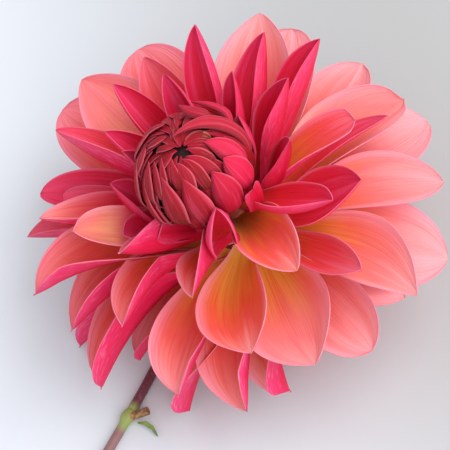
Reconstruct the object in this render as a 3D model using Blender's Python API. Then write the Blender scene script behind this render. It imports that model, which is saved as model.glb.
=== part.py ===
"""Dahlia flower, picked and lying on a surface: head, bent neck and cut stem.

The head is built in its own frame, with its axis along +Z and the centre of the flower at the
origin. Each petal (ray floret) is one row of a table: which way it points around the axis, how
far it droops from the axis, how far its tip reaches, how wide it is, how deep its cup is and how
far it is rolled about its midrib. The head is then laid on the surface, leaning a little, on the
tips of its back petals.
"""
import math

import bmesh
import bpy
from mathutils import Matrix, Vector

MM = 0.001

# Where the middle of the head stands over the surface, and how its axis leans.
FLOWER_AT = (27.2 * MM, 3.1 * MM)
HEAD_HEIGHT = 40.2 * MM
HEAD_LEAN = 9
HEAD_LEAN_TOWARDS = 173
HEAD_TURN = 166

# Petals grow from the receptacle: the more upright the petal, the higher and nearer the axis.
PETAL_THICKNESS = 0.6 * MM
UPRIGHT_ANGLE = 20
FOLDED_BACK_ANGLE = 120
TOP_BASE_RADIUS = 5 * MM
TOP_BASE_HEIGHT = 13 * MM
LOW_BASE_RADIUS = 14 * MM
LOW_BASE_HEIGHT = -5 * MM
UPRIGHT_BOW = 6 * MM
FOLDED_BACK_BOW = -2 * MM
CLAW_WIDTH_SHARE = 0.10
WIDEST_AT = 0.60
CUP_SHARE_AT_FOOT = 0.5
CUP_FULL_AT = 0.3
ROLL_FULL_AT = 0.4
# The solid petals are a little narrower and flatter than real ones, so that none cuts another.
WIDTH_SHARE = 0.86
CUP_SHARE = 0.86
STATIONS_ALONG = 8
STATIONS_ACROSS = 6
TIP_CROWDING = 1.15

# Petal rows: azimuth, droop (degrees), reach, width (mm), cup, roll (degrees), bluntness of tip.
INNER_PETALS = (
    (4, 34, 59, 20, 110, -10, 0.4),
    (69, 36, 61, 17, 115, -20, 0.4),
    (152, 37, 64, 19, 110, 15, 0.4),
    (108, 38, 64, 20, 115, -10, 0.4),
    (45, 44, 62, 24, 115, -25, 0.4),
    (90, 46, 75, 24, 115, -20, 0.4),
    (130, 47, 70, 22, 115, 10, 0.4),
    (337, 49, 65, 24, 105, -20, 0.4),
    (262, 50, 57, 26, 95, 20, 0.4),
    (195, 51, 66, 24, 50, 0, 0.7),
    (308, 54, 61, 28, 60, 0, 0.4),
)
MIDDLE_PETALS = (
    (71, 55, 70, 26, 115, -25, 0.4),
    (154, 56, 77, 26, 85, 20, 0.4),
    (14, 57, 65, 30, 70, -10, 0.4),
    (115, 60, 72, 26, 80, -10, 0.4),
    (233, 64, 65, 32, 95, 30, 0.4),
    (180, 66, 75, 24, 80, 25, 0.4),
    (54, 66, 72, 26, 115, -25, 0.4),
    (359, 68, 53, 28, 95, -20, 0.4),
    (134, 69, 84, 34, 45, 0, 0.2),
    (323, 70, 66, 28, 50, 0, 0.4),
    (201, 72, 81, 34, 85, 25, 0.4),
    (278, 72, 62, 34, 55, 8, 0.4),
    (80, 75, 80, 34, 45, 0, 0.4),
    (115, 76, 85, 38, 40, 0, 1.0),
    (325, 76, 82, 38, 45, 0, 0.4),
    (22, 78, 66, 26, 60, 0, 0.4),
)
OUTER_PETALS = (
    (169, 80, 81, 25, 80, 25, 0.4),
    (209, 84, 75, 34, 85, 25, 0.4),
    (141, 85, 94, 34, 40, 0, 0.8),
    (294, 85, 66, 38, 45, 0, 0.4),
    (75, 86, 80, 34, 40, 0, 0.9),
    (175, 87, 88, 26, 80, 25, 0.4),
    (250, 87, 68, 36, 75, 10, 0.4),
    (31, 87, 72, 36, 50, 0, 0.4),
    (4, 94, 73, 36, 40, 0, 0.6),
    (51, 94, 77, 32, 40, 0, 0.4),
    (307, 94, 70, 32, 30, 0, 0.9),
    (267, 97, 69, 32, 70, 15, 0.4),
    (221, 97, 81, 34, 85, 25, 0.4),
    (31, 103, 79, 36, 35, 0, 0.7),
    (345, 103, 74, 36, 35, 0, 0.7),
)
BACK_PETALS = (
    (279, 108, 62, 32, 50, 0, 0.4),
    (199, 108, 88, 30, 80, 20, 0.4),
    (240, 114, 73, 32, 80, 20, 0.4),
    (60, 110, 74, 34, 45, 0, 0.6),
    (113, 108, 75, 34, 45, 0, 0.6),
    (160, 105, 76, 32, 45, 0, 0.6),
    (333, 112, 65, 32, 40, 0, 0.4),
    (180, 124, 59, 28, 40, 0, 0.5),
    (88, 122, 79, 30, 40, 0, 0.5),
    (40, 128, 79, 30, 40, 0, 0.5),
    (15, 142, 58, 26, 40, 0, 0.5),
    (330, 140, 58, 26, 40, 0, 0.5),
    (290, 138, 55, 26, 40, 0, 0.5),
)

# The bud: an egg of closed florets whose tips spiral round the eye.
BUD_RADIUS = 18.5 * MM
BUD_CENTRE_HEIGHT = 40 * MM
BUD_FOOT_HEIGHT = 14.0 * MM
BUD_FOOT_TAPER = 2.2
BUD_FLORETS = 34
BUD_RELIEF = 1.4 * MM
BUD_TIPS_DOWN_TO = 100
BUD_FLORET_LENGTH = 60
BUD_FLORET_HALF_WIDTH = 0.30
GOLDEN_ANGLE = math.radians(137.5)

RECEPTACLE_PROFILE = (
    (0, -6.5), (9.5, -6.2), (11.5, -5.0), (9.0, 2.0), (5.0, 9.0), (2.5, 12.5), (0, 13.2),
)
CALYX_PROFILE = (
    (0, -7.2), (10.5, -7.0), (12.8, -8.0), (11.5, -11.5), (7.5, -14.5), (3.4, -16.0), (0, -16.0),
)
BRACT_COUNT = 5
BRACT_LENGTH = 9 * MM
BRACT_WIDTH = 5 * MM
BRACT_THICKNESS = 1.0 * MM
BRACT_RADIUS = 12.5 * MM
BRACT_HEIGHT = -13.5 * MM
BRACT_SLOPE = 35

# The stem's route over the surface, in millimetres: from the calyx down the neck to the cut end.
STEM_RADIUS = 1.85 * MM
NECK_RADIUS = 2.6 * MM
NECK_POINTS = 5
STEM_ROUTE = (
    (2.6, -0.3, 23.4), (3.3, 0.0, 18.6), (2.7, 0.5, 13.2), (-0.4, 1.0, 8.0), (-6.0, 1.2, 4.4),
    (-14.0, 0.4, 2.5), (-26.0, -2.8, 1.9), (-39.0, -9.3, 1.9), (-51.5, -18.4, 1.9),
    (-60.5, -26.6, 1.9), (-70.0, -34.8, 1.9), (-80.3, -43.6, 1.9), (-100.7, -61.2, 1.9),
    (-120.4, -78.4, 1.9), (-131.0, -87.6, 1.9),
)
STEM_NODE_AT = (-69.4, -34.4, 2.5)
STEM_NODE_TURN = 40.7
STEM_NODE_RADII = (4.6, 3.0, 2.4)
SHOOT_ROUTE = ((-68.0, -34.8, 2.6), (-64.4, -35.6, 3.2), (-61.2, -36.2, 4.2))
SHOOT_RADIUS = 1.6 * MM
LEAFLET_ROUTE = ((-66.4, -38.0, 1.8), (-64.0, -39.6, 2.6), (-62.0, -42.4, 2.4), (-61.4, -45.8, 1.0))
LEAFLET_HALF_WIDTHS = (0.3, 0.8, 0.7, 0.2)
LEAFLET_THICKNESS = 0.5 * MM

INNER_COLOUR = (0.60, 0.02, 0.06)
MIDDLE_COLOUR = (0.83, 0.16, 0.14)
OUTER_COLOUR = (0.87, 0.25, 0.20)
BACK_COLOUR = (0.90, 0.33, 0.30)
BUD_COLOUR = (0.38, 0.01, 0.04)
RECEPTACLE_COLOUR = (0.62, 0.66, 0.30)
CALYX_COLOUR = (0.16, 0.26, 0.07)
STEM_COLOUR = (0.17, 0.05, 0.06)
LEAFLET_COLOUR = (0.35, 0.42, 0.30)


def clear_scene():
    for item in list(bpy.data.objects):
        bpy.data.objects.remove(item, do_unlink=True)


def material(name, colour, roughness):
    made = bpy.data.materials.new(name)
    made.use_nodes = True
    shader = made.node_tree.nodes["Principled BSDF"]
    shader.inputs["Base Color"].default_value = (*colour, 1.0)
    shader.inputs["Roughness"].default_value = roughness
    shader.inputs["Metallic"].default_value = 0.0
    return made


def new_object(name, mesh, finish, parent=None):
    made = bpy.data.objects.new(name, mesh)
    bpy.context.scene.collection.objects.link(made)
    made.data.materials.append(finish)
    made.parent = parent
    return made


def mix(low, high, share):
    return low + (high - low) * share


def share_between(low, high, value):
    return min(max((value - low) / (high - low), 0.0), 1.0)


def petal_base(chord_angle):
    """Radius and height of a petal's foot on the receptacle, for the slope of its midrib."""
    share = share_between(UPRIGHT_ANGLE, FOLDED_BACK_ANGLE, chord_angle)
    radius = mix(TOP_BASE_RADIUS, LOW_BASE_RADIUS, share)
    height = mix(TOP_BASE_HEIGHT, LOW_BASE_HEIGHT, share)
    return Vector((radius, height))


def petal_chord(droop, reach):
    """Foot, tip and chord angle of a petal, as (radius, height) in the plane of its midrib."""
    tip = Vector((math.sin(math.radians(droop)), math.cos(math.radians(droop)))) * reach
    foot = petal_base(droop)
    for _ in range(6):
        angle = math.degrees(math.atan2(tip.x - foot.x, tip.y - foot.y))
        foot = petal_base(angle)
    return foot, tip, angle


def half_width(along, width, bluntness):
    """Half the petal's width: a narrow claw, widest past the middle, closing to its tip."""
    if along < WIDEST_AT:
        rise = math.sin(along / WIDEST_AT * math.pi / 2) ** 1.5
        return width / 2 * mix(CLAW_WIDTH_SHARE, 1.0, rise)
    past = (along - WIDEST_AT) / (1 - WIDEST_AT)
    return width / 2 * (1 - past ** mix(1.8, 2.3, bluntness)) ** mix(0.95, 0.5, bluntness)


def petal_point(petal, along, across):
    """A point of the petal's middle surface: along from foot to tip, across from -1 to 1."""
    azimuth, droop, reach, width, cup, roll, bluntness = petal
    foot, tip, angle = petal_chord(droop, reach * MM)
    chord = tip - foot
    outward = Vector((chord.y, -chord.x)).normalized()
    bow = mix(UPRIGHT_BOW, FOLDED_BACK_BOW, share_between(UPRIGHT_ANGLE, FOLDED_BACK_ANGLE, angle))
    midrib = foot + chord * along + outward * bow * 4 * along * (1 - along)
    slope = (chord + outward * bow * 4 * (1 - 2 * along)).normalized()
    opening = mix(CUP_SHARE_AT_FOOT, 1.0, min(along / CUP_FULL_AT, 1)) * (1.15 - 0.3 * along)
    curl = math.radians(cup * CUP_SHARE) * opening
    half = half_width(along, width * MM * WIDTH_SHARE, bluntness)
    sideways = half * math.sin(curl * across) / curl
    lifted = half * (1 - math.cos(curl * across)) / curl
    turn = math.radians(roll) * min(along / ROLL_FULL_AT, 1)
    side = sideways * math.cos(turn) - lifted * math.sin(turn)
    lift = sideways * math.sin(turn) + lifted * math.cos(turn)
    radius = midrib.x - lift * slope.y
    height = midrib.y + lift * slope.x
    return Matrix.Rotation(math.radians(azimuth), 3, "Z") @ Vector((radius, side, height))


def petal_object(name, petal, finish, head):
    """One ray floret: a curved sheet shaped over a grid, thickened and closed."""
    sheet = bmesh.new()
    bmesh.ops.create_grid(sheet, x_segments=STATIONS_ACROSS, y_segments=STATIONS_ALONG, size=1.0)
    for vert in sheet.verts:
        along = 1 - ((1 - vert.co.y) / 2) ** TIP_CROWDING
        vert.co = petal_point(petal, along, vert.co.x)
    bmesh.ops.remove_doubles(sheet, verts=sheet.verts, dist=0.02 * MM)
    mesh = bpy.data.meshes.new(name)
    sheet.to_mesh(mesh)
    sheet.free()
    mesh.shade_smooth()
    made = new_object(name, mesh, finish, head)
    skin = made.modifiers.new("thickness", "SOLIDIFY")
    skin.thickness = PETAL_THICKNESS
    skin.offset = 0.0
    skin.use_even_offset = False
    return made


def turned(profile, steps):
    """A closed body turned about Z from (radius, height) points in millimetres, bottom to top."""
    body = bmesh.new()
    verts = [body.verts.new((radius * MM, 0, height * MM)) for radius, height in profile]
    edges = [body.edges.new(pair) for pair in zip(verts, verts[1:])]
    bmesh.ops.spin(body, geom=verts + edges, axis=(0, 0, 1), cent=(0, 0, 0), steps=steps, angle=math.tau)
    bmesh.ops.remove_doubles(body, verts=body.verts, dist=0.01 * MM)
    bmesh.ops.recalc_face_normals(body, faces=body.faces)
    return body


def finished(name, body, finish, head=None):
    """An object from a closed bmesh, shaded smooth."""
    mesh = bpy.data.meshes.new(name)
    body.to_mesh(mesh)
    body.free()
    mesh.shade_smooth()
    return new_object(name, mesh, finish, head)


def bud_relief(polar, azimuth):
    """How far the closed florets stand out of the bud: each is a ridge that starts at its tip."""
    best = 0.0
    for number in range(BUD_FLORETS):
        tip = math.radians(BUD_TIPS_DOWN_TO) * math.sqrt((number + 0.5) / BUD_FLORETS)
        below = (polar - tip) / math.radians(BUD_FLORET_LENGTH)
        offset = math.remainder(azimuth - number * GOLDEN_ANGLE, math.tau) * math.sin(polar)
        offset /= BUD_FLORET_HALF_WIDTH
        if 0 <= below < 1 and abs(offset) < 1:
            best = max(best, (1 - offset * offset) * (1 - below))
    return best * BUD_RELIEF


def bud(head, finish):
    """The closed heart: a ball that narrows to a foot on the receptacle."""
    body = bmesh.new()
    bmesh.ops.create_uvsphere(body, u_segments=34, v_segments=20, radius=1.0)
    for vert in body.verts:
        polar = math.acos(max(-1.0, min(1.0, vert.co.z)))
        azimuth = math.atan2(vert.co.y, vert.co.x)
        around = math.sin(polar)
        if polar < math.pi / 2:
            radius = BUD_RADIUS * around
            height = BUD_CENTRE_HEIGHT + BUD_RADIUS * vert.co.z
        else:
            radius = BUD_RADIUS * around ** BUD_FOOT_TAPER
            height = BUD_CENTRE_HEIGHT + (BUD_CENTRE_HEIGHT - BUD_FOOT_HEIGHT) * vert.co.z
        relief = bud_relief(polar, azimuth) * around
        radius += relief
        vert.co = (radius * math.cos(azimuth), radius * math.sin(azimuth), height)
    bmesh.ops.recalc_face_normals(body, faces=body.faces)
    return finished("bud", body, finish, head)


def cutter(item):
    """Keeps a helper out of renders and shows it as wire."""
    item.hide_render = True
    item.display_type = "WIRE"
    return item


def join_solid(item, other):
    """Adds another closed shape to an object."""
    union = item.modifiers.new(other.name, "BOOLEAN")
    union.operation = "UNION"
    union.object = cutter(other)


def calyx(head, finish):
    """The green cup under the head, with its small bracts turned down around the neck."""
    cup = finished("calyx", turned(CALYX_PROFILE, 24), finish, head)
    for number in range(BRACT_COUNT):
        leaf = bmesh.new()
        bmesh.ops.create_uvsphere(leaf, u_segments=10, v_segments=6, radius=1.0)
        shape = Matrix.Diagonal((BRACT_LENGTH / 2, BRACT_WIDTH / 2, BRACT_THICKNESS / 2, 1))
        place = Matrix.Translation((BRACT_RADIUS, 0, BRACT_HEIGHT))
        turn = Matrix.Rotation(math.tau * (number + 0.5) / BRACT_COUNT, 4, "Z")
        tip_down = Matrix.Rotation(math.radians(BRACT_SLOPE), 4, "Y")
        bmesh.ops.transform(leaf, matrix=turn @ place @ tip_down @ shape, verts=leaf.verts)
        join_solid(cup, finished(f"bract_{number + 1}", leaf, finish, head))
    return cup


def tube(name, route, radii, finish, flower):
    """A closed round stalk through route points in millimetres, with a radius at each."""
    line = bpy.data.curves.new(name, "CURVE")
    line.dimensions = "3D"
    line.resolution_u = 3
    line.bevel_depth = 1.0
    line.bevel_resolution = 3
    line.use_fill_caps = True
    spline = line.splines.new("BEZIER")
    spline.bezier_points.add(len(route) - 1)
    for point, place, radius in zip(spline.bezier_points, route, radii):
        point.co = Vector(place) * MM
        point.radius = radius
        point.handle_left_type = "AUTO"
        point.handle_right_type = "AUTO"
    guide = bpy.data.objects.new(f"{name}_line", line)
    bpy.context.scene.collection.objects.link(guide)
    mesh = bpy.data.meshes.new_from_object(guide)
    bpy.data.objects.remove(guide)
    mesh.shade_smooth()
    return new_object(name, mesh, finish, flower)


def stem(flower, finish):
    """The stalk, its swollen node and the stub of the side shoot cut off there, as one solid."""
    extra = NECK_RADIUS - STEM_RADIUS
    radii = [STEM_RADIUS + extra * max(0, 1 - number / NECK_POINTS) for number in range(len(STEM_ROUTE))]
    stalk = tube("stem", STEM_ROUTE, radii, finish, flower)
    swelling = bmesh.new()
    bmesh.ops.create_uvsphere(swelling, u_segments=16, v_segments=10, radius=MM)
    shape = Matrix.Diagonal((*STEM_NODE_RADII, 1))
    turn = Matrix.Rotation(math.radians(STEM_NODE_TURN), 4, "Z")
    place = Matrix.Translation(Vector(STEM_NODE_AT) * MM)
    bmesh.ops.transform(swelling, matrix=place @ turn @ shape, verts=swelling.verts)
    join_solid(stalk, finished("stem_node", swelling, finish, flower))
    shoot_radii = [SHOOT_RADIUS] * len(SHOOT_ROUTE)
    join_solid(stalk, tube("side_shoot", SHOOT_ROUTE, shoot_radii, finish, flower))
    return stalk


def leaflet(flower, finish):
    """The thin curved leaflet beside the stem's node."""
    sheet = bmesh.new()
    rows = []
    for place, half in zip(LEAFLET_ROUTE, LEAFLET_HALF_WIDTHS):
        side = Vector((half, half / 2, 0))
        rows.append([sheet.verts.new((Vector(place) + side * sign) * MM) for sign in (-1, 1)])
    for (left, right), (far_left, far_right) in zip(rows, rows[1:]):
        sheet.faces.new((left, right, far_right, far_left))
    made = finished("node_leaflet", sheet, finish, flower)
    skin = made.modifiers.new("thickness", "SOLIDIFY")
    skin.thickness = LEAFLET_THICKNESS
    skin.offset = 0.0
    return made


def flower_frame():
    """An empty on the surface under the middle of the head, which carries everything."""
    frame = bpy.data.objects.new("flower", None)
    bpy.context.scene.collection.objects.link(frame)
    frame.location = (*FLOWER_AT, 0)
    return frame


def head_frame(flower):
    """An empty in the head's own frame: it leans, and stands at the flower's centre."""
    frame = bpy.data.objects.new("head", None)
    bpy.context.scene.collection.objects.link(frame)
    towards = Matrix.Rotation(math.radians(HEAD_LEAN_TOWARDS), 4, "Z")
    lean = Matrix.Rotation(math.radians(HEAD_LEAN), 4, "Y")
    turn = Matrix.Rotation(math.radians(HEAD_TURN), 4, "Z")
    frame.matrix_world = Matrix.Translation((0, 0, HEAD_HEIGHT)) @ towards @ lean @ turn
    frame.parent = flower
    return frame


def petals(head):
    """All the open ray florets, in four rings from the bud out to the back of the head."""
    rows = (
        ("inner_petal", INNER_PETALS, INNER_COLOUR),
        ("middle_petal", MIDDLE_PETALS, MIDDLE_COLOUR),
        ("outer_petal", OUTER_PETALS, OUTER_COLOUR),
        ("back_petal", BACK_PETALS, BACK_COLOUR),
    )
    for name, row, colour in rows:
        finish = material(name, colour, 0.5)
        for number, petal in enumerate(row, 1):
            petal_object(f"{name}_{number:02d}", petal, finish, head)


def main():
    clear_scene()
    flower = flower_frame()
    head = head_frame(flower)
    petals(head)
    bud(head, material("bud", BUD_COLOUR, 0.5))
    flesh = material("receptacle", RECEPTACLE_COLOUR, 0.6)
    finished("receptacle", turned(RECEPTACLE_PROFILE, 24), flesh, head)
    calyx(head, material("calyx", CALYX_COLOUR, 0.6))
    stem(flower, material("stem", STEM_COLOUR, 0.5))
    leaflet(flower, material("leaflet", LEAFLET_COLOUR, 0.6))


main()
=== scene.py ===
"""A picked dahlia lying on a pale surface: cut stem, calyx, rings of ray florets, closed heart."""

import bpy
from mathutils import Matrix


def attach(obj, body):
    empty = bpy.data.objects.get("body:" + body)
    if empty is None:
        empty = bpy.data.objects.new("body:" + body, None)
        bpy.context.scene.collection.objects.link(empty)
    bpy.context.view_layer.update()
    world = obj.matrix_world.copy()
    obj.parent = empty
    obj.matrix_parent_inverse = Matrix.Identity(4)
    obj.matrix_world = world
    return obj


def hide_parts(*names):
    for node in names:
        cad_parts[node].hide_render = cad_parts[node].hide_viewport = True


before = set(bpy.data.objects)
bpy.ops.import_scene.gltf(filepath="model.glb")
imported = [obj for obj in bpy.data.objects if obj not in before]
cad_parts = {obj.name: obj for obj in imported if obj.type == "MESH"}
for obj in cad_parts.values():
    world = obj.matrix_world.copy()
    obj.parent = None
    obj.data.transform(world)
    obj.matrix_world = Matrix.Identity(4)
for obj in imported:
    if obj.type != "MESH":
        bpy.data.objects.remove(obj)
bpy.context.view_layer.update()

import math
import random

import bpy
from mathutils import Matrix, Vector


# Stem: the flower's own stalk, a round stalk about 3.7 mm thick with a plum skin that greys below
# the green node. It bends out from under the head, lies on the surface, and is cut square at its
# far end. Places are in millimetres from the spot on the surface that is below the head's middle.
MM = 0.001
FLOWER_AT = Vector((27.2, 3.1, 0)) * MM
STEM_ROUTE = (
    (2.6, -0.3, 23.4), (3.3, 0.0, 18.6), (2.7, 0.5, 13.2), (-0.4, 1.0, 8.0), (-6.0, 1.2, 4.4),
    (-14.0, 0.4, 2.5), (-26.0, -2.8, 1.9), (-39.0, -9.3, 1.9), (-51.5, -18.4, 1.9),
    (-60.5, -26.6, 1.9), (-70.0, -34.8, 1.9), (-80.3, -43.6, 1.9), (-100.7, -61.2, 1.9),
    (-120.4, -78.4, 1.9), (-131.0, -87.6, 1.9),
)
STEM_RADII = (2.6, 2.45, 2.3, 2.15, 2.0) + (1.85,) * 10
STEM_HEADING = Vector((0.758, 0.652, 0))
NODE_AT = Vector((-69.4, -34.4, 2.5)) * MM + FLOWER_AT
SMOOTH_BELOW = 50


def paint(red, green, blue):
    """A colour as a painter mixes it (0 to 255), made linear for the shader."""
    mixed = (red, green, blue)
    linear = (((c / 255 + 0.055) / 1.055) ** 2.4 if c > 10 else c / 3294.6 for c in mixed)
    return (*linear, 1.0)


class Wire:
    """A socket of a finish's nodes; sums on it add Math nodes."""

    def __init__(self, finish, socket):
        self.finish = finish
        self.socket = socket

    def with_maths(self, operation, *terms):
        return self.finish.node("ShaderNodeMath", {"operation": operation}, dict(enumerate(terms)))

    def twin(self, output):
        """Another output of the same node."""
        return Wire(self.finish, self.socket.node.outputs[output])

    def __add__(self, other):
        return self.with_maths("ADD", self, other)

    def __sub__(self, other):
        return self.with_maths("SUBTRACT", self, other)

    def __rsub__(self, other):
        return self.with_maths("SUBTRACT", other, self)

    def __mul__(self, other):
        return self.with_maths("MULTIPLY", self, other)

    def __abs__(self):
        return self.with_maths("ABSOLUTE", self)

    __radd__ = __add__
    __rmul__ = __mul__


class Finish:
    """One material: its Principled shader, and the nodes that feed it."""

    def __init__(self, name, **constants):
        self.material = bpy.data.materials.new(name)
        self.material.use_nodes = True
        self.tree = self.material.node_tree
        self.shader = self.tree.nodes["Principled BSDF"]
        for socket, value in constants.items():
            self.shader.inputs[socket.replace("_", " ")].default_value = value

    def node(self, kind, settings=None, inputs=None, output=0):
        """Makes a node, sets it up, feeds its sockets, and gives one of its outputs."""
        made = self.tree.nodes.new(kind)
        for name, value in (settings or {}).items():
            if name == "stops":
                self.set_stops(made.color_ramp.elements, value)
            else:
                setattr(made, name, value)
        for name, value in (inputs or {}).items():
            self.feed(made.inputs[name], value)
        return Wire(self, made.outputs[output])

    def set_stops(self, elements, stops):
        while len(elements) < len(stops):
            elements.new(1.0)
        for element, (place, colour) in zip(elements, stops):
            element.position = place
            element.color = colour

    def feed(self, socket, value):
        if isinstance(value, Wire):
            self.tree.links.new(value.socket, socket)
        else:
            socket.default_value = value

    def step(self, value, low, high):
        """0 below low, 1 above high, smooth between."""
        return self.node("ShaderNodeMapRange", {"interpolation_type": "SMOOTHSTEP"},
                         {"Value": value, "From Min": low, "From Max": high})

    def blend(self, share, first, second):
        """The first colour where share is 0, the second where it is 1."""
        return self.node("ShaderNodeMix", {"data_type": "RGBA"},
                         {"Factor": share, 6: first, 7: second}, 2)

    def places(self):
        """Object coordinates, in metres."""
        return self.node("ShaderNodeTexCoord", output=3)

    def grain(self, vector, scale, detail):
        """Noise from 0 to 1."""
        return self.node("ShaderNodeTexNoise", {},
                         {"Vector": vector, "Scale": scale, "Detail": detail})

    def wear(self, colour, rough, height, depth):
        """Connects colour, roughness and a bump of that depth."""
        self.feed(self.shader.inputs["Base Color"], colour)
        self.feed(self.shader.inputs["Roughness"], rough)
        relief = self.node("ShaderNodeBump", {},
                           {"Strength": 1.0, "Distance": depth, "Height": height})
        self.feed(self.shader.inputs["Normal"], relief)
        return self.material


def choose(piece):
    """Deselects everything, then selects this piece alone."""
    bpy.ops.object.select_all(action="DESELECT")
    piece.select_set(True)
    bpy.context.view_layer.objects.active = piece


def settle(piece, slot, *nodes):
    """Applies the piece's place, shades it, and hands it to the frame."""
    choose(piece)
    bpy.ops.object.transform_apply(location=True, rotation=True, scale=True)
    bpy.ops.object.shade_smooth_by_angle(angle=math.radians(SMOOTH_BELOW))
    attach(piece, "root")
    if nodes:
        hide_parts(*nodes)


def stalk(name, route, radii, finish):
    """A round stalk through points in millimetres, as a closed mesh."""
    bpy.ops.object.select_all(action="DESELECT")
    bpy.ops.curve.primitive_bezier_curve_add()
    piece = bpy.context.object
    piece.name = name
    line = piece.data
    line.dimensions = "3D"
    line.resolution_u = 8
    line.bevel_depth = MM
    line.bevel_resolution = 6
    line.use_fill_caps = True
    spline = line.splines[0]
    spline.bezier_points.add(len(route) - 2)
    for point, place, radius in zip(spline.bezier_points, route, radii):
        point.co = Vector(place) * MM
        point.radius = radius
        point.handle_left_type = "AUTO"
        point.handle_right_type = "AUTO"
    piece.location = FLOWER_AT
    choose(piece)
    bpy.ops.object.convert(target="MESH")
    piece = bpy.context.object
    piece.data.materials.clear()
    piece.data.materials.append(finish)
    return piece


def stem_skin():
    """Plum skin above the node, greyer below it, green on the node and olive by the head."""
    skin = Finish("stem_skin", IOR=1.4)
    spot = skin.places()
    course = skin.node("ShaderNodeVectorMath", {"operation": "DOT_PRODUCT"},
                       {0: spot, 1: STEM_HEADING}, 1)
    node_course = NODE_AT.dot(STEM_HEADING)
    past_node = skin.step(course, node_course - 3 * MM, node_course + 6 * MM)
    to_node = skin.node("ShaderNodeVectorMath", {"operation": "DISTANCE"},
                        {0: spot, 1: NODE_AT}, 1)
    on_node = 1 - skin.step(to_node, 3.5 * MM, 7.5 * MM)
    to_head = skin.step(course, -10 * MM, 30 * MM)
    mottle = skin.grain(spot, 900, 4.0)
    colour = skin.blend(past_node, paint(142, 104, 104), paint(104, 48, 62))
    colour = skin.blend(skin.step(mottle, 0.45, 0.75) * 0.45, colour, paint(150, 98, 92))
    colour = skin.blend(to_head, colour, paint(112, 108, 60))
    colour = skin.blend(on_node, colour, paint(146, 158, 88))
    return skin.wear(colour, 0.42 + mottle * 0.15, mottle, 0.1 * MM)


stem_finish = stem_skin()
stem = stalk("stem_stalk", STEM_ROUTE, STEM_RADII, stem_finish)
settle(stem, "stem", "stem")


# Node and side shoot: the stem's own green swelling where a pair of leaves was, and beside it the
# dry brown stub of a side shoot that grew there and was cut off. It thickens again to its cut end.
NODE_HALF_SIZE = (4.0, 2.6, 2.3)
NODE_TURN = 40.7
SHOOT_ROUTE = ((-68.0, -34.8, 2.6), (-66.4, -35.3, 2.9), (-64.4, -35.6, 3.2), (-61.2, -36.2, 4.2))
SHOOT_RADII = (1.9, 1.5, 1.45, 1.6)

bpy.ops.object.select_all(action="DESELECT")
bpy.ops.mesh.primitive_uv_sphere_add(segments=28, ring_count=18, radius=MM, location=NODE_AT,
                                     rotation=(0, 0, math.radians(NODE_TURN)), scale=NODE_HALF_SIZE)
swelling = bpy.context.object
swelling.name = "stem_node"
swelling.data.materials.append(stem_finish)
settle(swelling, "stem")


def stub_skin():
    """Dry brown skin, mottled with tan."""
    skin = Finish("shoot_skin", IOR=1.4)
    fibres = skin.grain(skin.places(), 700, 4.0)
    colour = skin.blend(skin.step(fibres, 0.35, 0.7), paint(120, 78, 52), paint(176, 138, 92))
    return skin.wear(colour, 0.6 + fibres * 0.2, fibres, 0.1 * MM)


settle(stalk("side_shoot", SHOOT_ROUTE, SHOOT_RADII, stub_skin()), "stem")


# Receptacle: the swollen end of the stem, firm russet flesh that every floret grows from, with a
# moist, finely pitted skin. The CAD body is shown, in that skin.
def dress(node, material):
    """Puts a material on a CAD body that stays in sight."""
    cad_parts[node].data.materials.clear()
    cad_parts[node].data.materials.append(material)


def flesh():
    """Russet flesh, browner in its pits."""
    skin = Finish("receptacle_flesh", IOR=1.4)
    pits = skin.grain(skin.places(), 500, 3.0)
    colour = skin.blend(pits, paint(150, 50, 40), paint(170, 80, 50))
    return skin.wear(colour, 0.5 + pits * 0.2, pits, 0.2 * MM)


dress("receptacle", flesh())


# Calyx and leaflet: a green cup under the head with five leafy bracts turned down round the neck,
# and the thin curved leaflet that grows at the stem's node. Both are soft leaf with a waxy skin,
# and their CAD bodies are shown, in that skin.
def green_skin():
    """Waxy green, in paler and darker spots."""
    skin = Finish("calyx_skin", IOR=1.4)
    spots = skin.grain(skin.places(), 220, 4.0)
    colour = skin.blend(skin.step(spots, 0.3, 0.75), paint(92, 120, 58), paint(146, 164, 88))
    return skin.wear(colour, 0.45 + spots * 0.2, spots, 0.2 * MM)


leaf_green = green_skin()
dress("calyx", leaf_green)
dress("node_leaflet", leaf_green)


# Petals: ray florets, each a thin cupped sheet of soft tissue that grows from a narrow claw on the
# receptacle. The face is ochre at the claw, coral and then pink towards the rim; the reverse is
# magenta. One flat blank is made, and each petal is a copy of it, curved to its place in the head.

# The head's own frame has the flower's axis up and its centre at the origin. The head leans a
# little and rests on the tips of its lowest petals.
HEAD_HEIGHT, HEAD_LEAN, LEANS_TOWARDS, HEAD_TURN = 40.2, 9, 173, 166
HEAD = (
    Matrix.Translation(FLOWER_AT + Vector((0, 0, HEAD_HEIGHT)) * MM)
    @ Matrix.Rotation(math.radians(LEANS_TOWARDS), 4, "Z")
    @ Matrix.Rotation(math.radians(HEAD_LEAN), 4, "Y")
    @ Matrix.Rotation(math.radians(HEAD_TURN), 4, "Z")
)
# By its lean from the axis, a petal's claw stands between these two (radius, height) places on the
# receptacle, and its midrib bows away from the heart when upright and arches up when folded back.
UPRIGHT, FOLDED_BACK = 20, 120
TOP_BASE, LOW_BASE = Vector((5, 13)), Vector((14, -5))
UPRIGHT_BOW, FOLDED_BACK_BOW = 6, -2
# The blank's rows stand closer near the tip, and a tip narrower than its gap is closed.
COLUMNS, ROWS = 28, 44
TIP_CROWDING = 1.15
TIP_GAP = 0.02
PETAL_THICKNESS = 0.30
WIDEST_AT = 0.60
CLAW_SHARE = 0.3
# The cup opens a little from its full depth to the tip, and has hardly begun at the claw.
CLAW_CUP, FULL_CUP, TIP_CUP = 0.15, 1.15, 0.85
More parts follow.
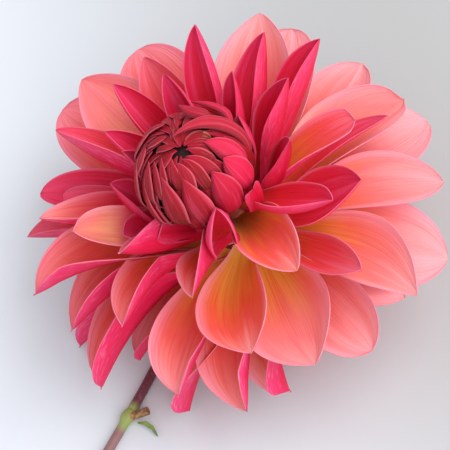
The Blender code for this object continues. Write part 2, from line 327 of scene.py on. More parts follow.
# Waves from claw to tip, and flutes from the midrib to the edge, both in radians.
EDGE_WAVES, SLOW_WAVES = 9, 5
FLUTES, FLUTE_DEPTH = 10, 0.22


def share_between(low, high, value):
    """How far value is from low to high, kept from 0 to 1."""
    return min(max((value - low) / (high - low), 0.0), 1.0)


def mix(low, high, share):
    """The number at this share of the way from low to high."""
    return low + (high - low) * share


def petal_uv(finish):
    """Across (0 to 1) and along (0 at the claw, 1 at the tip) on the petal's own sheet."""
    own_map = finish.node("ShaderNodeTexCoord", output=2)
    across = finish.node("ShaderNodeSeparateXYZ", {}, {0: own_map})
    return across, across.twin(1)


def petal_numbers(finish, *names):
    """The numbers of these names that each petal carries for itself."""
    return [finish.node("ShaderNodeAttribute", {"attribute_name": name}, {}, 2) for name in names]


def streaks_along(finish, across, along, seed):
    """Lines that run from claw to tip: noise stretched along the petal's own sheet."""
    where = finish.node("ShaderNodeCombineXYZ", {}, {0: across, 1: along, 2: seed})
    return finish.grain(where, 1.0, 3.0)


def petal_face():
    """The side towards the heart: ripe petals are ochre, coral and pink, young ones crimson with
    painted lilac sheen streaks.
    """
    face = Finish("petal_face", IOR=1.35, Subsurface_Weight=0.2, Subsurface_Scale=1.5 * MM,
                  Subsurface_Radius=(1.0, 0.25, 0.2))
    across, along = petal_uv(face)
    youth, warmth, pallor, seed = petal_numbers(face, "youth", "warmth", "pallor", "seed")
    edge = abs(across * 2 - 1)
    broad = streaks_along(face, across * 7, along * 0.9, seed)
    fine = streaks_along(face, across * 46, along * 1.8, seed + 7)
    heat = along + (broad - 0.5) * 0.7 - (warmth - 0.5) * 0.45 + edge * 0.10
    ripe = face.node("ShaderNodeValToRGB", {"stops": (
        (0.05, paint(240, 172, 64)), (0.25, paint(240, 142, 60)), (0.42, paint(238, 104, 62)),
        (0.60, paint(238, 94, 80)), (0.78, paint(245, 130, 122)), (1.0, paint(250, 160, 162)),
    )}, {0: heat})
    ripe = face.blend(face.step(edge, 0.66, 1.0) * 0.7, ripe, paint(246, 158, 178))
    ripe = face.blend(face.step(fine, 0.48, 0.70) * 0.35, ripe, paint(226, 52, 62))
    young = face.node("ShaderNodeValToRGB", {"stops": (
        (0.1, paint(206, 50, 36)), (0.3, paint(214, 22, 48)), (0.65, paint(228, 32, 74)),
        (1.0, paint(238, 60, 112)),
    )}, {0: along + (broad - 0.5) * 0.5})
    young = face.blend(face.step(fine, 0.52, 0.70) * 0.30, young, paint(158, 6, 30))
    # Painted sheen: lilac-pink streaks towards the tip of young faces.
    face_sheen = face.step(broad, 0.52, 0.68) * face.step(along, 0.3, 0.8)
    young = face.blend(face_sheen * 0.4, young, paint(238, 92, 140))
    young = face.blend(face.step(edge, 0.88, 1.0) * 0.7, young, paint(240, 116, 150))
    # Youth mixes in the crimson of young petals; on petals away from the key lamp it is partly
    # painted shade.
    colour = face.blend(youth, ripe, young)
    # Pallor paints the petal paler towards its tip: the pale pink of old petals, and on petals
    # towards the key lamp also painted light.
    colour = face.blend(pallor * face.step(along, 0.2, 0.7), colour, paint(252, 172, 182))
    return face.wear(colour, 0.52 + fine * 0.12, fine, 0.3 * MM)


def petal_reverse():
    """The side away from the heart, with a painted sheen of pale specks towards its edges."""
    back = Finish("petal_reverse", IOR=1.35, Subsurface_Weight=0.2, Subsurface_Scale=1.5 * MM,
                  Subsurface_Radius=(1.0, 0.25, 0.25))
    across, along = petal_uv(back)
    youth, pallor, seed = petal_numbers(back, "youth", "pallor", "seed")
    edge = abs(across * 2 - 1)
    broad = streaks_along(back, across * 6, along * 1.2, seed)
    fine = streaks_along(back, across * 50, along * 14, seed + 3)
    depth = edge * 0.65 + along * 0.35 + (broad - 0.5) * 0.7
    ripe = back.node("ShaderNodeValToRGB", {"stops": (
        (0.1, paint(214, 12, 52)), (0.45, paint(230, 22, 78)), (0.8, paint(240, 54, 112)),
        (1.0, paint(244, 90, 140)),
    )}, {0: depth})
    young = back.node("ShaderNodeValToRGB", {"stops": (
        (0.1, paint(190, 8, 36)), (0.5, paint(214, 18, 62)), (1.0, paint(234, 60, 108)),
    )}, {0: depth})
    # Youth darkens the reverse to young crimson, and on petals away from the key lamp it is partly
    # painted shade.
    colour = back.blend(youth, ripe, young)
    # Painted sheen: pale specks towards the edges, fainter on young petals.
    back_sheen = back.step(fine, 0.52, 0.66) * back.step(depth, 0.35, 1.0) * (0.5 - youth * 0.3)
    colour = back.blend(back_sheen, colour, paint(250, 158, 190))
    # Pallor paints the reverse paler, and on petals towards the key lamp it is partly painted
    # light.
    colour = back.blend(pallor * 0.6, colour, paint(250, 150, 172))
    return back.wear(colour, 0.48 + fine * 0.15, fine, 0.3 * MM)


def petal_margin():
    """The thin cut edge, paler than either side."""
    rim = Finish("petal_margin", IOR=1.35, Subsurface_Weight=0.2, Subsurface_Scale=1.5 * MM,
                 Subsurface_Radius=(1.0, 0.25, 0.25))
    across, along = petal_uv(rim)
    youth, seed = petal_numbers(rim, "youth", "seed")
    fleck = streaks_along(rim, across * 4, along * 24, seed)
    colour = rim.blend(fleck, paint(240, 118, 136), paint(246, 156, 170))
    # Youth darkens the rim to young crimson, and on petals away from the key lamp it is partly
    # painted shade.
    colour = rim.blend(youth, colour, paint(228, 84, 120))
    return rim.wear(colour, 0.5 + fleck * 0.1, fleck, 0.1 * MM)


PETAL_SKINS = (petal_reverse(), petal_face(), petal_margin())

bpy.ops.object.select_all(action="DESELECT")
bpy.ops.mesh.primitive_grid_add(x_subdivisions=COLUMNS, y_subdivisions=ROWS, size=2)
blank = bpy.context.object
blank.name = "petal_blank"


def petal_base(lean):
    """Where a petal's claw stands on the receptacle, as (radius, height) in millimetres."""
    return TOP_BASE.lerp(LOW_BASE, share_between(UPRIGHT, FOLDED_BACK, lean))


def midrib(droop, reach, bow, high_foot):
    """The petal's midrib in its own upright plane: a function of along, for place and slope. Its
    foot and its lean depend on each other, and settle in a few turns."""
    tip = Vector((math.sin(math.radians(droop)), math.cos(math.radians(droop)))) * reach
    foot = petal_base(droop)
    for _ in range(6):
        lean = math.degrees(math.atan2(tip.x - foot.x, tip.y - foot.y))
        foot = petal_base(lean)
    if high_foot:
        foot = Vector(high_foot)
    chord = tip - foot
    outward = Vector((chord.y, -chord.x)).normalized()
    if bow is None:
        bow = mix(UPRIGHT_BOW, FOLDED_BACK_BOW, share_between(UPRIGHT, FOLDED_BACK, lean))

    def at(along):
        lift = bow * 4 * along * (1 - along)
        rate = bow * 4 * (1 - 2 * along)
        return foot + chord * along + outward * lift, (chord + outward * rate).normalized()

    return at


def half_width(along, width, blunt, beak):
    """Half the petal's width: a claw, widest past the middle, closed to its tip or a small beak."""
    if along < WIDEST_AT:
        rise = math.sin(along / WIDEST_AT * math.pi / 2) ** 1.5
        return width / 2 * mix(CLAW_SHARE, 1.0, rise)
    # A sharp petal narrows at once; a blunt one stays broad and closes late.
    past = (along - WIDEST_AT) / (1 - WIDEST_AT)
    closed = (past * (1 + 0.1 * beak)) ** mix(1.8, 2.6, blunt)
    body = max(0.0, 1 - closed) ** max(mix(0.95, 0.5, blunt), 0.1)
    return width / 2 * max(body, beak * (1 - past))


def half_section(curl, keel, columns):
    """(sideways, lifted) from midrib to edge of a half petal 1 wide, laid out in short chords: an
    arc, or a V where keel is near 0."""
    chords = 4
    count = columns * chords
    places = [(0.0, 0.0)]
    for number in range(count):
        angle = curl * ((number + 0.5) / count) ** keel
        x, z = places[-1]
        places.append((x + math.cos(angle) / count, z + math.sin(angle) / count))
    return places[::chords]


def petal(node, azimuth, droop, reach, width, cup, roll=0, blunt=0.4, beak=0.0, keel=1.0, skew=0.0,
          bow=None, sway=0.0, wave=0.6, unfurl=0.3, high_foot=None,
          youth=0.0, warmth=0.5, pallor=0.0, slot=None):
    """One ray floret: a copy of the blank curved to its place, thickened, and finished. Its tip
    stands at azimuth round the axis and droop from it, reach millimetres from the head's centre.
    The cup closes it and the roll tips it about its midrib, both at their fullest from unfurl on;
    skew broadens one half, and sway carries its middle sideways. Youth mixes in the crimson of
    young petals, and on petals away from the key lamp it is partly painted shade; pallor paints it
    paler, as old petals are, and on petals towards the key lamp it is partly painted light. A pair
    for youth is its value at the claw and at the tip. A petal with a slot stands for no CAD node."""
    piece = blank.copy()
    piece.data = blank.data.copy()
    piece.name = f"{node}_petal_sheet" if slot is None else node
    bpy.context.scene.collection.objects.link(piece)
    chance = random.Random(node)
    phase = [chance.uniform(0, math.tau) for _ in range(3)]
    line = midrib(droop, reach, bow, high_foot)
    half_columns = COLUMNS // 2
    turn_home = HEAD @ Matrix.Rotation(math.radians(azimuth), 4, "Z")
    sections = {}
    for vert in piece.data.vertices:
        row = round((vert.co.y + 1) / 2 * ROWS)
        column = round((vert.co.x + 1) / 2 * COLUMNS) - half_columns
        if row not in sections:
            along = 1 - (1 - row / ROWS) ** TIP_CROWDING
            begun = mix(CLAW_CUP / unfurl, 1.0, min(along / unfurl, 1))
            curl = math.radians(cup) * begun * mix(FULL_CUP, TIP_CUP, along)
            sections[row] = (along, half_width(along, width, blunt, beak),
                             half_section(curl, keel, half_columns))
        along, half, section = sections[row]
        sideways, lifted = section[abs(column)]
        sign = 1 if column >= 0 else -1
        half *= 1 + skew * sign
        out = abs(column) / half_columns
        ripple = wave * math.sin(along * EDGE_WAVES + phase[sign > 0]) * out ** 3 * min(1, half / 8)
        ripple += 0.25 * wave * math.sin(along * SLOW_WAVES + out * 4 + phase[2])
        ripple += FLUTE_DEPTH * math.cos(out * FLUTES) * (1 - out) * min(1, half / 10)
        across = sign * sideways * half
        lift = lifted * half + ripple
        turn = math.radians(roll) * min(along / max(unfurl, 0.4), 1)
        side = across * math.cos(turn) - lift * math.sin(turn) + sway * 4 * along * (1 - along)
        raised = across * math.sin(turn) + lift * math.cos(turn)
        spot, slope = line(along)
        place = Vector((spot.x - raised * slope.y, side, spot.y + raised * slope.x))
        vert.co = turn_home @ (place * MM)
    finish_petal(piece, PETAL_THICKNESS, PETAL_SKINS,
                 youth=youth, warmth=warmth, pallor=pallor, seed=chance.uniform(0, 50))
    if slot:
        settle(piece, slot)
    else:
        settle(piece, node[:-len("_01")], node)


def finish_petal(piece, thickness, skins, **numbers):
    """Closes the tip, gives the sheet its thickness and three finishes, and notes its colouring."""
    choose(piece)
    bpy.ops.object.mode_set(mode="EDIT")
    bpy.ops.mesh.select_all(action="SELECT")
    bpy.ops.mesh.remove_doubles(threshold=TIP_GAP * MM)
    bpy.ops.object.mode_set(mode="OBJECT")
    for skin in skins:
        piece.data.materials.append(skin)
    wall = piece.modifiers.new("thickness", "SOLIDIFY")
    wall.thickness = thickness * MM
    wall.offset = 0.0
    wall.use_even_offset = False
    wall.material_offset = 1
    wall.material_offset_rim = 2
    bpy.ops.object.modifier_apply(modifier=wall.name)
    alongs = [0.0] * len(piece.data.vertices)
    for corner, place in zip(piece.data.loops, piece.data.uv_layers[0].data):
        alongs[corner.vertex_index] = place.uv.y
    for name, value in numbers.items():
        at_claw, at_tip = value if isinstance(value, tuple) else (value, value)
        carried = piece.data.attributes.new(name, "FLOAT", "POINT")
        carried.data.foreach_set("value", [mix(at_claw, at_tip, along) for along in alongs])


# Back ring: the oldest and softest petals, which grow from the receptacle's lower edge and are
# folded back under the head. The lowest six carry its weight.
# In these rings, a youth from 0.1 to 0.4 on petals away from the key lamp is painted shade, and
# pallor on petals towards it is partly painted light.
petal("back_petal_01", 278, 112, 63, 34, 75, 70, blunt=1.5, beak=0.4, keel=0.4, unfurl=0.95)
petal("back_petal_02", 199, 108, 88, 32, 75, 38, beak=0.5, keel=0.4, skew=0.1)
petal("back_petal_03", 240, 114, 73, 32, 75, 45, blunt=1.2, keel=0.4, skew=0.3, unfurl=1.0)
petal("back_petal_04", 60, 110, 74, 34, 45, blunt=0.6, pallor=0.3)
petal("back_petal_05", 113, 108, 75, 34, 45, blunt=0.6, pallor=0.2)
petal("back_petal_06", 160, 105, 76, 32, 45, blunt=0.6)
petal("back_petal_07", 329, 100, 65, 28, 50, 8, skew=0.15, pallor=0.5)
petal("back_petal_08", 180, 124, 59, 28, 40, blunt=0.5)
petal("back_petal_09", 88, 122, 79, 30, 40, blunt=0.5, pallor=0.2)
petal("back_petal_10", 40, 128, 79, 30, 40, blunt=0.5, pallor=0.2)
petal("back_petal_11", 15, 142, 58, 26, 40, blunt=0.5, pallor=0.2)
petal("back_petal_12", 330, 140, 58, 26, 40, blunt=0.5, pallor=0.2)
petal("back_petal_13", 290, 138, 55, 26, 40, blunt=0.5)
petal("back_petal_hidden_a", 92, 98, 76, 34, 45, pallor=0.2, slot="back_petal")
petal("back_petal_hidden_b", 134, 98, 76, 34, 45, slot="back_petal")


# Outer ring: broad, nearly flat petals, palest at their tips, which grow from the receptacle's side
# and stand level. Those at one side close to boats, and one of them is turned on its midrib.
petal("outer_petal_01", 166, 79, 81, 28, 70, 12, blunt=0.7, keel=0.6, youth=(1.3, 0.9))
petal("outer_petal_02", 209, 84, 75, 36, 75, 22, blunt=0.9, beak=0.5, keel=0.45, skew=0.1, sway=-7,
      youth=0.3)
petal("outer_petal_03", 141, 85, 95, 36, 40, blunt=0.8, youth=0.4)
petal("outer_petal_04", 294, 85, 66, 38, 45, 8, warmth=0.75, pallor=0.35)
petal("outer_petal_05", 75, 86, 80, 34, 40, blunt=0.9, pallor=0.5)
petal("outer_petal_06", 175, 87, 88, 26, 80, 25, keel=0.5, youth=(1.2, 0.7))
petal("outer_petal_07", 249, 88, 69, 29, 75, 24, blunt=0.9, beak=0.5, keel=0.45, skew=-0.25,
      unfurl=0.8, youth=0.15)
petal("outer_petal_08", 31, 87, 73, 28, 50, blunt=1.2, beak=0.3, skew=0.08, sway=5, warmth=0.9,
      pallor=0.35)
petal("outer_petal_09", 5, 94, 73, 25, 45, blunt=0.7, sway=5, pallor=0.35)
petal("outer_petal_10", 54, 94, 78, 30, 40, blunt=0.8, beak=0.5, pallor=0.35)
petal("outer_petal_11", 309, 93, 70, 28, 40, blunt=0.9, pallor=0.3)
petal("outer_petal_12", 267, 98, 69, 34, 72, 34, keel=0.35, skew=-0.1, unfurl=0.8, youth=0.1)
petal("outer_petal_13", 221, 97, 81, 42, 75, 26, blunt=1.2, beak=0.5, keel=0.45, skew=0.2, sway=-7,
      youth=0.3)
petal("outer_petal_turned", 220, 105, 65, 26, 75, 44, blunt=1.2, keel=0.45, unfurl=1.0, youth=0.3,
      slot="outer_petal")
petal("outer_petal_14", 31, 103, 79, 36, 35, blunt=0.7, pallor=0.5)
petal("outer_petal_15", 345, 103, 74, 36, 35, blunt=0.7, pallor=0.45)


# Middle ring: cupped petals at their fullest colour, opening from boats to shallow spoons. They
# grow from the receptacle's shoulder, in the gaps of the outer ring.
petal("middle_petal_01", 68, 55, 70, 26, 115, -25, youth=1.0)
petal("middle_petal_02", 154, 56, 77, 32, 85, 27, keel=0.5, skew=0.4, youth=(0.3, 0.9))
petal("middle_petal_03", 15, 57, 64, 20, 70, -10, blunt=1.7, beak=0.3, skew=-0.2, bow=-6, sway=0.5,
      youth=(0.0, 0.6), warmth=0.9)
petal("middle_petal_04", 115, 60, 72, 26, 80, -10, youth=0.6)
petal("middle_petal_05", 233, 64, 65, 29, 75, 25, blunt=0.9, beak=0.5, keel=0.45, skew=0.1, sway=-8,
      unfurl=0.55, youth=0.2)
petal("middle_petal_06", 180, 66, 75, 24, 80, 25, keel=0.6, youth=(2.2, -0.2))
petal("middle_petal_07", 54, 66, 72, 26, 115, -25, youth=1.0)
petal("middle_petal_08", 359, 68, 53, 32, 60, -8, skew=-0.3, youth=0.95)
petal("middle_petal_09", 134, 69, 84, 34, 45, youth=(0.0, 0.3), warmth=1.2, pallor=0.3)
petal("middle_petal_10", 323, 68, 66, 16, 55, blunt=0.6, youth=0.6, warmth=0.6)
petal("middle_petal_11", 201, 72, 81, 36, 75, 24, blunt=1.0, beak=0.5, keel=0.45, skew=0.15,
      sway=-7, unfurl=0.85, youth=0.3)
petal("middle_petal_12", 278, 72, 62, 33, 60, 10, blunt=0.6, sway=-4, warmth=0.7)
petal("middle_petal_13", 80, 75, 80, 34, 45, pallor=0.2)
petal("middle_petal_14", 117, 76, 83, 36, 40, blunt=0.9, youth=0.35)
petal("middle_petal_15", 325, 77, 82, 30, 55, -16, blunt=0.1, skew=0.2, sway=3, warmth=0.6,
      pallor=0.3)
petal("middle_petal_hump", 170, 68, 68, 20, -55, blunt=0.9, youth=0.9, slot="middle_petal")
petal("middle_petal_16", 25, 79, 65, 13, 60, -20, blunt=0.3, sway=4, youth=0.85)


# Inner ring: young, narrow, deeply folded petals, crimson on both sides, which grow from the
# receptacle's top and stand round the heart. The smallest lie close against its foot.
petal("inner_petal_01", 4, 34, 59, 20, 90, -20, youth=1.0)
petal("inner_petal_02", 69, 36, 61, 17, 115, -20, youth=1.0)
petal("inner_petal_03", 152, 37, 64, 19, 110, 15, youth=1.0)
petal("inner_petal_04", 108, 38, 64, 20, 115, -10, youth=1.0)
petal("inner_petal_05", 43, 44, 62, 24, 115, -25, youth=1.0)
petal("inner_petal_06", 90, 46, 75, 24, 115, -20, youth=1.0)
petal("inner_petal_07", 130, 47, 70, 22, 115, 10, youth=1.0)
petal("inner_petal_08", 337, 49, 65, 26, 80, -22, skew=-0.35, high_foot=(8, 26), youth=0.95)
petal("inner_petal_09", 262, 50, 57, 27, 85, 25, keel=0.5, skew=0.25, bow=0, sway=-2, youth=0.3)
petal("inner_petal_10", 195, 51, 66, 18, 45, blunt=1.0, beak=0.6, skew=-0.15, youth=(5.7, -2.7),
      warmth=1.6, pallor=0.3)
petal("inner_petal_11", 308, 54, 61, 25, 70, skew=0.05, bow=-3, high_foot=(8, 19),
      youth=(0.6, 0.0), warmth=0.9)
petal("inner_petal_strap", 52, 26, 51, 13, 80, youth=0.8, slot="inner_petal")
petal("inner_petal_curl", 327, 26, 53, 10, 60, blunt=1.7, high_foot=(7, 22), youth=1.0,
      slot="inner_petal")
petal("inner_petal_quill", 291, 22, 54, 24, -135, blunt=0.9, bow=3, sway=-5, wave=0.0, unfurl=0.6,
      high_foot=(9, 16), youth=1.0, slot="inner_petal")
petal("inner_petal_hooded", 163, 28, 59, 15, 110, 15, youth=1.0, slot="inner_petal")
petal("inner_petal_side", 172, 46, 53, 24, 80, 20, keel=0.7, bow=7, sway=6, youth=1.2,
      slot="inner_petal")
petal("inner_petal_strip", 226, 33, 46, 11, 15, 95, blunt=1.6, bow=0, unfurl=0.1, youth=0.9,
      slot="inner_petal")
petal("inner_petal_ruff", 204, 46, 50, 24, 60, 10, blunt=0.7, youth=1.0, slot="inner_petal")
petal("inner_petal_front", 223, 41, 61, 24, 80, 45, beak=0.5, keel=0.45, skew=0.25, youth=0.4,
      slot="inner_petal")
bpy.data.objects.remove(blank)


# Heart: a ball of closed florets that lean over each other round the dark eye, each with its
#  reverse outward, one edge tucked under its neighbour with painted shade and the other standing
#  free and pale. They grow from the receptacle's top, and the core, painted near black as the shade
#  between them, fills the gaps.
BUD_CENTRE, BUD_RADIUS, BUD_FOOT = Vector((-3.0, 1.4, 42.0)), 20.2, Vector((0, 0, 13))
# The way from the heart's centre to its eye, and two ways square to it.
EYE = Vector((0.137, -0.170, 0.976)).normalized()
EYE_SIDE = (Vector((1, 0, 0)) - EYE * EYE.x).normalized()
EYE_FRONT = EYE.cross(EYE_SIDE)
FLORET_COLUMNS, FLORET_ROWS = 12, 24
FLORET_TIP_CROWDING = 1.2
FLORET_THICKNESS = 0.4
FLORET_WIDEST_AT = 0.42
# A floret's foot dips under the heart's skin, its back is rounded by a share of its width, and its
# free edge stands off.
FOOT_SHARE, FOOT_DIP = 0.25, 2.6
FLORET_CROWN = 0.34
FREE_EDGE = 0.7
EYE_FLORETS = 18
SPIRAL_FLORETS = 46
GOLDEN_ANGLE = 137.5
# The tips swing round the eye by up to this much, and not at all at that azimuth.
SWIRL, SWIRL_FROM = 32, 290
# The core lies this deep under the florets, and narrows to its foot from this share downwards.
CORE_DEPTH = 2.4
CORE_NARROWS_AT = 0.55


def bud_way(azimuth, polar):
    """The direction from the heart's centre, in degrees round the eye and away from it."""
    turn, lean = math.radians(azimuth), math.radians(polar)
    level = EYE_SIDE * math.cos(turn) + EYE_FRONT * math.sin(turn)
    return level * math.sin(lean) + EYE * math.cos(lean)


def floret_skin():
    """Crimson, with painted shade at the edge tucked under its neighbour and painted light on the
    florets towards the key lamp, paler lines that run to the tip and a pale edge.
    """
    skin = Finish("floret_skin", IOR=1.35, Subsurface_Weight=0.05, Subsurface_Scale=1.0 * MM,
                  Subsurface_Radius=(1.0, 0.25, 0.2))
    across, along = petal_uv(skin)
    seed, glow, ochre = petal_numbers(skin, "seed", "glow", "ochre")
    lines = streaks_along(skin, across * 9, along * 1.2, seed)
    fine = streaks_along(skin, across * 40, along * 2, seed + 5)
    colour = skin.node("ShaderNodeValToRGB", {"stops": (
        (0.0, paint(110, 30, 16)), (0.3, paint(146, 4, 20)), (0.7, paint(172, 8, 34)),
        (1.0, paint(196, 26, 58)),
    )}, {0: along + (lines - 0.5) * 0.4})
    # Painted light: the florets on the side towards the key lamp are brightened.
    colour = skin.blend(glow, colour, paint(216, 24, 70))
    colour = skin.blend(skin.step(lines, 0.50, 0.66) * 0.28, colour, paint(224, 76, 110))
    colour = skin.blend(ochre * skin.step(lines, 0.4, 0.6), colour, paint(196, 120, 96))
    # Painted shade: the edge tucked under the neighbour is darkened.
    tucked = 1 - skin.step(across, 0.0, 0.34)
    colour = skin.blend(tucked * 0.7, colour, paint(86, 2, 10))
    colour = skin.blend(skin.step(across, 0.87, 0.97) * 0.6, colour, paint(230, 100, 118))
    return skin.wear(colour, 0.55 + fine * 0.15, fine, 0.3 * MM)


FLORET_SKIN = floret_skin()
bpy.ops.object.select_all(action="DESELECT")
bpy.ops.mesh.primitive_grid_add(x_subdivisions=FLORET_COLUMNS, y_subdivisions=FLORET_ROWS, size=2)
floret_blank = bpy.context.object


def floret_half_width(along, width):
    """Half a floret's width: broad low down, then a long taper to the tip."""
    if along < FLORET_WIDEST_AT:
        return width / 2 * mix(0.6, 1.0, math.sin(along / FLORET_WIDEST_AT * math.pi / 2))
    past = (along - FLORET_WIDEST_AT) / (1 - FLORET_WIDEST_AT)
    return width / 2 * max(0.0, 1 - past ** 1.5) ** 1.05


def floret(foot, middle, tip, width, out, lift=0.5, glow=0.0, ochre=0.0):
    """One closed floret over the heart by way of three (azimuth, polar) places, out millimetres
    above its skin, with its free edge and its tip lifted. Its painted glow brightens it as painted
    light, ochre its lines."""
    piece = floret_blank.copy()
    piece.data = floret_blank.data.copy()
    bpy.context.scene.collection.objects.link(piece)
    start, via, end = bud_way(*foot), bud_way(*middle), bud_way(*tip)
    handle = via * 2 - (start + end) / 2
    for vert in piece.data.vertices:
        across, along = vert.co.x, 1 - ((1 - vert.co.y) / 2) ** FLORET_TIP_CROWDING
        spot = start * (1 - along) ** 2 + handle * 2 * along * (1 - along) + end * along ** 2
        course = (handle - start) * (1 - along) + (end - handle) * along
        outward = spot.normalized()
        sideways = course.cross(outward).normalized()
        half = floret_half_width(along, width)
        height = out - FOOT_DIP * (1 - min(along / FOOT_SHARE, 1)) ** 2 + lift * along ** 3
        crown = FLORET_CROWN * half * (1 - abs(across) ** 2.2)
        height += crown + FREE_EDGE * across * min(1, half / 2)
        way = (outward * BUD_RADIUS + sideways * across * half).normalized()
        vert.co = HEAD @ ((BUD_CENTRE + way * (BUD_RADIUS + height)) * MM)
    finish_petal(piece, FLORET_THICKNESS, (FLORET_SKIN,) * 3,
                 seed=foot[0] * 0.37 + tip[1], glow=glow, ochre=ochre)
    return piece


def swirled(azimuth, share):
    """Where a floret with its foot at this azimuth has come to, at a share of the swirl."""
    return azimuth + SWIRL * math.sin(math.radians(azimuth - SWIRL_FROM)) * share


# The florets that show most, from the front round to the left and over the top.
# The glow numbers below are painted light on the florets towards the key lamp.
florets = [
    floret((258, 86), (248, 50), (224, 30), 8.6, 0.7),
    floret((283, 90), (277, 51), (266, 25), 10.0, 0.4, glow=0.1),
    floret((306, 92), (314, 56), (320, 33), 10.2, 0.7, glow=0.5),
    floret((334, 88), (340, 56), (347, 38), 10.0, 0.9, glow=0.9),
    floret((347, 76), (2, 43), (19, 22), 8.0, 0.1, glow=0.8),
    floret((4, 84), (42, 44), (121, 14), 5.4, 1.5, glow=0.45, ochre=0.1),
    floret((23, 34), (45, 21), (75, 12), 4.6, -0.9, ochre=0.8),
    floret((40, 68), (66, 68), (86, 69), 4.4, 2.6, glow=0.8),
    floret((50, 48), (76, 44), (95, 54), 4.4, 1.8, lift=1.5, glow=0.3),
    floret((338, 36), (349, 18), (18, 7), 3.8, -0.6, glow=0.3),
    floret((323, 48), (322, 22), (309, 7), 4.8, -0.4, glow=0.2),
    floret((300, 52), (297, 22), (272, 8), 5.4, -0.3),
    floret((276, 46), (269, 24), (244, 12), 6.4, -0.1, glow=0.1),
    floret((215, 94), (194, 64), (174, 52), 5.4, 0.9),
    floret((229, 72), (208, 46), (185, 35), 5.0, 0.5),
    floret((236, 60), (216, 38), (189, 29), 4.6, 0.1),
    floret((238, 94), (224, 72), (211, 52), 5.6, 0.9),
    floret((190, 66), (175, 47), (162, 41), 5.0, 0.5),
    floret((240, 52), (222, 32), (187, 21), 5.0, -0.3),
    floret((170, 80), (152, 58), (138, 50), 5.2, 0.5),
    floret((150, 76), (130, 50), (118, 40), 5.2, 0.3),
    floret((160, 50), (145, 32), (130, 24), 4.6, -0.3),
    floret((262, 44), (244, 24), (214, 13), 5.0, -0.5),
    floret((246, 40), (224, 20), (192, 12), 4.4, -0.8),
]


# The smallest ones close on the eye.
for number in range(EYE_FLORETS):
    around = number * 360 / EYE_FLORETS + 8 * math.sin(number * 5)
    tip_polar = 4 + 5 * (number * 0.618 % 1)
    florets.append(floret(foot=(around, 34), middle=(swirled(around, 0.4), 17),
                          tip=(swirled(around, 1.0), tip_polar),
                          width=3.2, out=-1.3 + 0.5 * (number % 3), lift=0.3))

# Behind and beneath them the rest stand in a golden-angle spiral, longer and broader outwards.
for number in range(SPIRAL_FLORETS):
    spread = number / SPIRAL_FLORETS
    around = number * GOLDEN_ANGLE % 360
    tip_polar = 8 + 47 * spread ** 0.9
    florets.append(floret(foot=(around, min(tip_polar + 62, 108)),
                          middle=(swirled(around, 0.4), tip_polar + 28),
                          tip=(swirled(around, 1.0), tip_polar),
                          width=3.4 + 4.6 * spread, out=-1.9 + 1.5 * spread))
bpy.data.objects.remove(floret_blank)
choose(florets[0])
for item in florets:
    item.select_set(True)
bpy.ops.object.join()
florets[0].name = "bud_florets"

bpy.ops.object.select_all(action="DESELECT")
bpy.ops.mesh.primitive_uv_sphere_add(segments=48, ring_count=32, radius=1)
core = bpy.context.object
core.name = "bud_core"
for vert in core.data.vertices:
    below = share_between(CORE_NARROWS_AT, 1.0, -vert.co.z)
    way = EYE_SIDE * vert.co.x + EYE_FRONT * vert.co.y + EYE * vert.co.z
    place = BUD_CENTRE + way * (BUD_RADIUS - CORE_DEPTH)
    vert.co = HEAD @ (place.lerp(BUD_FOOT, below) * MM)


def core_shade():
    """Painted shade: near-black crimson for the shade between closed florets."""
    skin = Finish("bud_core_painted_shade", IOR=1.4)
    mottle = skin.grain(skin.places(), 800, 3.0)
    colour = skin.blend(mottle, paint(22, 14, 12), paint(60, 8, 14))
    return skin.wear(colour, 0.6 + mottle * 0.1, mottle, 0.3 * MM)


core.data.materials.append(core_shade())
settle(core, "bud", "bud")
settle(florets[0], "bud")


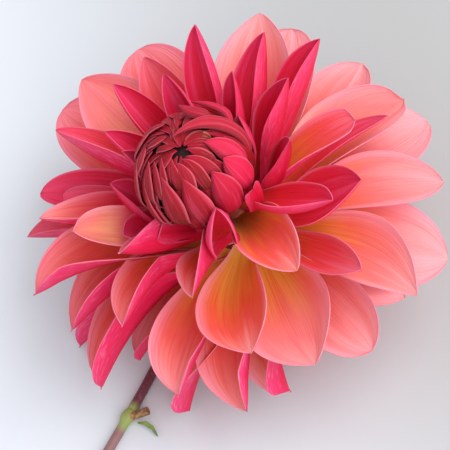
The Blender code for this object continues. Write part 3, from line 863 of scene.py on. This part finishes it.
# Floor: the plain surface that the flower lies on, a wide sheet of matt paper, painted with a
#  shade that grades from a cool white to grey.
FLOOR_SIZE = 6
bpy.ops.object.select_all(action="DESELECT")
bpy.ops.mesh.primitive_plane_add(size=FLOOR_SIZE)
floor = bpy.context.object
floor.name = "floor"
ground = Finish("floor_paper", Roughness=0.9)
side = ground.node("ShaderNodeSeparateXYZ", {}, {0: ground.places()})
# Painted shade: the paper darkens from a cool white to grey along X.
shade = ground.step(side, -75 * MM, 125 * MM)
ground.feed(ground.shader.inputs["Base Color"],
            ground.blend(shade, paint(218, 222, 228), paint(174, 174, 173)))
floor.data.materials.append(ground.material)


# Light and camera: two broad soft lamps on the head, a pale sky all round, and a long lens that
# looks down on the flower from the front of the head.
LIGHTS_MEET_AT = Vector((0.02, 0, 0.05))


def soft_light(name, place, size, power, colour=(1, 1, 1)):
    """A round soft lamp, aimed at the head."""
    lamp = bpy.data.lights.new(name, "AREA")
    lamp.shape = "DISK"
    lamp.size = size
    lamp.energy = power
    lamp.color = colour
    item = bpy.data.objects.new(name, lamp)
    item.location = place
    item.rotation_euler = (LIGHTS_MEET_AT - Vector(place)).to_track_quat("-Z", "Y").to_euler()
    bpy.context.scene.collection.objects.link(item)


soft_light("key", (0.75, -0.05, 0.95), 1.0, 8.5)
soft_light("fill", (0.3, -0.75, 0.75), 0.9, 5.5, (0.96, 0.98, 1.0))
world = bpy.data.worlds.new("studio")
world.use_nodes = True
sky = world.node_tree.nodes["Background"]
sky.inputs["Color"].default_value = (0.93, 0.96, 1.0, 1)
sky.inputs["Strength"].default_value = 0.82
bpy.context.scene.world = world
bpy.context.scene.view_settings.view_transform = "Standard"

# In the head's own frame: where the camera stands in millimetres, and its three axes.
CAMERA_AT = Vector((155.8, -231.9, 438.7))
CAMERA_RIGHT = Vector((0.9367, 0.0, -0.3501))
CAMERA_UP = Vector((0.1559, 0.8954, 0.4172))
CAMERA_BACK = Vector((0.3135, -0.4454, 0.8387))
lens = bpy.data.cameras.new("camera")
lens.lens = 113.97
lens.sensor_width = 36
camera = bpy.data.objects.new("camera", lens)
axes = Matrix((CAMERA_RIGHT, CAMERA_UP, CAMERA_BACK)).transposed().to_4x4()
camera.matrix_world = HEAD @ Matrix.Translation(CAMERA_AT * MM) @ axes
bpy.context.scene.collection.objects.link(camera)
bpy.context.scene.camera = camera
